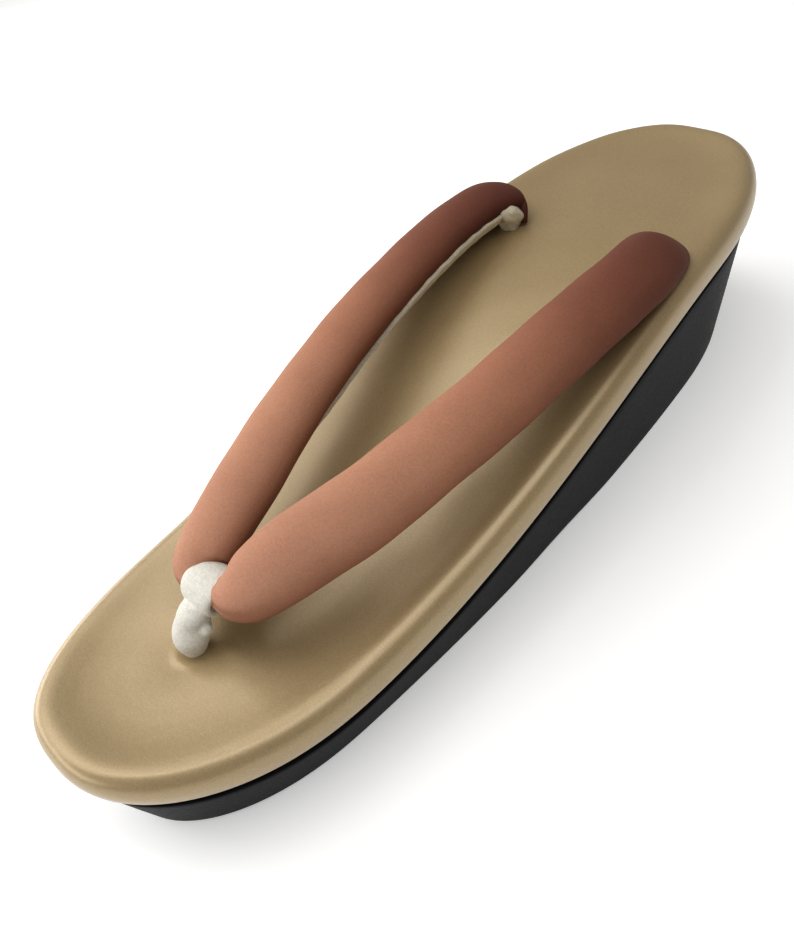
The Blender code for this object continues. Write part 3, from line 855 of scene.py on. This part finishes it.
class Nodes:
    """A small helper that adds and links the nodes of one material."""

    def __init__(self, name):
        self.material = bpy.data.materials.new(name)
        self.material.use_nodes = True
        self.tree = self.material.node_tree
        self.shader = self.tree.nodes["Principled BSDF"]
        self.place = self.add("ShaderNodeTexCoord").outputs["Object"]

    def add(self, kind, **values):
        node = self.tree.nodes.new(kind)
        for key, value in values.items():
            setattr(node, key, value)
        return node

    def link(self, source, target):
        self.tree.links.new(source, target)

    def put(self, **values):
        for key, value in values.items():
            self.shader.inputs[key.replace("_", " ")].default_value = value

    def noise(self, scale, detail=3.0, roughness=0.55, stretch=None):
        node = self.add("ShaderNodeTexNoise")
        node.inputs["Scale"].default_value = scale
        node.inputs["Detail"].default_value = detail
        node.inputs["Roughness"].default_value = roughness
        source = self.place
        if stretch is not None:
            mapping = self.add("ShaderNodeMapping")
            mapping.inputs["Scale"].default_value = stretch
            self.link(self.place, mapping.inputs["Vector"])
            source = mapping.outputs["Vector"]
        self.link(source, node.inputs["Vector"])
        return node.outputs["Fac"]

    def scaled(self, source, factor, offset):
        """A value times a factor, plus an offset."""
        node = self.add("ShaderNodeMath", operation="MULTIPLY_ADD")
        self.link(source, node.inputs[0])
        node.inputs[1].default_value = factor
        node.inputs[2].default_value = offset
        return node.outputs["Value"]

    def ramp(self, source, *stops):
        node = self.add("ShaderNodeValToRGB")
        elements = node.color_ramp.elements
        while len(elements) < len(stops):
            elements.new(0.5)
        for element, (position, colour) in zip(elements, stops):
            element.position = position
            element.color = (*colour, 1.0)
        self.link(source, node.inputs["Fac"])
        return node.outputs["Color"]

    def multiply(self, first, second):
        """The product of two colours."""
        node = self.add("ShaderNodeMix", data_type="RGBA", blend_type="MULTIPLY")
        node.inputs["Factor"].default_value = 1.0
        self.link(first, node.inputs["A"])
        self.link(second, node.inputs["B"])
        return node.outputs["Result"]

    def bump(self, *heights):
        """Bumps one on the other: (height, distance in metres, strength)."""
        normal = None
        for height, distance, strength in heights:
            node = self.add("ShaderNodeBump")
            node.inputs["Distance"].default_value = distance
            node.inputs["Strength"].default_value = strength
            self.link(height, node.inputs["Height"])
            if normal is not None:
                self.link(normal, node.inputs["Normal"])
            normal = node.outputs["Normal"]
        self.link(normal, self.shader.inputs["Normal"])


def gold_film():
    m = Nodes("gold_film")
    grain = m.noise(2600.0, 2.0)
    tone = m.ramp(m.noise(26.0, 2.0), (0.35, GOLD_DARK), (0.65, GOLD_LIGHT))
    speck = m.ramp(grain, (0.30, (0.90, 0.89, 0.87)), (0.70, (1.06, 1.06, 1.06)))
    m.link(m.multiply(tone, speck), m.shader.inputs["Base Color"])
    m.link(m.scaled(grain, 0.10, 0.33), m.shader.inputs["Roughness"])
    m.put(Metallic=0.28, Coat_Weight=0.25, Coat_Roughness=0.25)
    m.bump((m.noise(420.0), 0.00012, 0.22), (grain, 0.00004, 0.45))
    return m.material


def sole_rubber():
    m = Nodes("sole_rubber")
    grain = m.noise(1500.0)
    dust = m.ramp(m.noise(60.0, 4.0), (0.3, RUBBER_DARK), (0.75, RUBBER_LIGHT))
    m.link(dust, m.shader.inputs["Base Color"])
    m.link(m.scaled(grain, 0.20, 0.42), m.shader.inputs["Roughness"])
    m.put(Specular_IOR_Level=0.09)
    m.bump((m.noise(260.0, 2.0), 0.0002, 0.2), (grain, 0.00008, 0.5))
    return m.material


def strap_cloth():
    m = Nodes("strap_cloth")
    split = m.add("ShaderNodeSeparateXYZ")
    m.link(m.place, split.inputs["Vector"])
    share = m.add("ShaderNodeMapRange")
    share.inputs["From Min"].default_value = DYE_STATIONS[0] - LENGTH / 2
    share.inputs["From Max"].default_value = DYE_STATIONS[1] - LENGTH / 2
    m.link(split.outputs["Y"], share.inputs["Value"])
    colour = m.ramp(share.outputs["Result"], *DYE)
    crepe = m.noise(2600.0, 3.0, 0.6, (1.0, 0.7, 1.0))
    fleck = m.ramp(crepe, (0.32, (0.90, 0.89, 0.88)), (0.64, (1.04, 1.04, 1.04)))
    cloud = m.ramp(m.noise(90.0), (0.3, (0.95, 0.94, 0.94)), (0.7, (1.04, 1.04, 1.04)))
    dyed = m.multiply(m.multiply(colour, fleck), cloud)
    # Painted shade: the cloth's colour is darkened by how far its surface faces down
    turn = m.add("ShaderNodeSeparateXYZ")
    m.link(m.add("ShaderNodeNewGeometry").outputs["Normal"], turn.inputs["Vector"])
    painted_shade = m.ramp(m.scaled(turn.outputs["Z"], 0.5, 0.5), *PAINTED_UNDERSIDE_SHADE)
    m.link(m.multiply(dyed, painted_shade), m.shader.inputs["Base Color"])
    m.put(Roughness=0.9, Sheen_Weight=0.10, Sheen_Roughness=0.5, Specular_IOR_Level=0.15)
    m.put(Sheen_Tint=(1.0, 0.72, 0.58, 1.0))
    m.bump((m.noise(300.0), 0.00015, 0.35), (crepe, 0.00010, 0.7))
    return m.material


def pale_cloth(name, light, dark, fuzz, sheen):
    m = Nodes(name)
    grain = m.noise(1700.0, 3.0, 0.65)
    tone = m.ramp(grain, (0.30, dark), (0.60, light))
    cloud = m.ramp(m.noise(160.0), (0.3, (0.93, 0.93, 0.92)), (0.7, PLAIN))
    m.link(m.multiply(tone, cloud), m.shader.inputs["Base Color"])
    m.put(Roughness=0.92, Sheen_Weight=sheen, Sheen_Roughness=0.5, Specular_IOR_Level=0.2)
    m.bump((m.noise(420.0), 0.0003, 0.5), (grain, 0.00014, fuzz))
    return m.material


def dress(obj, material, *nodes, slot):
    obj.data.materials.clear()
    obj.data.materials.append(material)
    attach(obj, "root")
    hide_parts(*nodes)


def make_camera():
    """The photo's viewpoint, turned to frame the one shoe."""
    data = bpy.data.cameras.new("camera")
    camera = bpy.data.objects.new("camera", data)
    bpy.context.scene.collection.objects.link(camera)
    turn = Matrix((CAMERA_RIGHT, CAMERA_UP, CAMERA_BACK)).transposed().to_4x4()
    camera.matrix_world = Matrix.Translation(CAMERA_PLACE) @ turn
    data.sensor_width = CAMERA_SENSOR
    data.lens = CAMERA_LENS
    data.clip_start = CAMERA_CLIP
    bpy.context.scene.camera = camera


def make_light(name, place, size, power):
    data = bpy.data.lights.new(name, "AREA")
    data.shape = "RECTANGLE"
    data.size, data.size_y = size
    data.energy = power
    light = bpy.data.objects.new(name, data)
    bpy.context.scene.collection.objects.link(light)
    light.location = place
    light.rotation_euler = (LIGHT_TARGET - light.location).to_track_quat("-Z", "Y").to_euler()


def make_studio():
    mesh = bpy.data.meshes.new("floor")
    corners = [(x * FLOOR_SIZE, y * FLOOR_SIZE, 0) for x, y in ((-1, -1), (1, -1), (1, 1), (-1, 1))]
    mesh.from_pydata(corners, [], [(0, 1, 2, 3)])
    floor = bpy.data.objects.new("floor", mesh)
    bpy.context.scene.collection.objects.link(floor)
    floor.location.z = -FLOOR_DROP
    material = bpy.data.materials.new("floor")
    material.use_nodes = True
    shader = material.node_tree.nodes["Principled BSDF"]
    shader.inputs["Base Color"].default_value = FLOOR_GREY
    shader.inputs["Roughness"].default_value = 0.9
    shader.inputs["Specular IOR Level"].default_value = 0.0
    shader.inputs["Emission Color"].default_value = FLOOR_GLOW
    shader.inputs["Emission Strength"].default_value = 0.30
    mesh.materials.append(material)
    world = bpy.data.worlds.new("studio")
    bpy.context.scene.world = world
    world.use_nodes = True
    background = world.node_tree.nodes["Background"]
    background.inputs["Color"].default_value = STUDIO_GLOW
    background.inputs["Strength"].default_value = 0.30
    for light in LIGHTS:
        make_light(*light)
    bpy.context.scene.view_settings.view_transform = "Standard"
    bpy.context.scene.view_settings.look = "Medium High Contrast"
    bpy.context.scene.view_settings.exposure = -0.15


def main():
    dress(make_bed(), gold_film(), "footbed", slot="gold_film")
    dress(make_sole(), sole_rubber(), "outsole", slot="sole_rubber")
    cloth = strap_cloth()
    lining = pale_cloth("lining_cloth", LINING_LIGHT, LINING_DARK, fuzz=0.6, sheen=0.15)
    for side, word in ((-1, "left"), (1, "right")):
        arm = make_arm(f"strap_{word}", side)
        dress(arm, cloth, "straps", slot="strap_cloth")
        strip = make_strip(f"lining_strip_{word}", side)
        dress(strip, lining, f"lining_{word}", slot=f"lining_cloth_{word}")
        tail = make_tail(f"lining_tail_{word}", side)
        dress(tail, lining, f"lining_{word}", slot=f"lining_cloth_{word}")
    napped = pale_cloth("post_cloth", POST_LIGHT, POST_DARK, fuzz=0.8, sheen=0.3)
    dress(make_post(), napped, "toe_post", slot="post_cloth")
    make_camera()
    make_studio()


main()
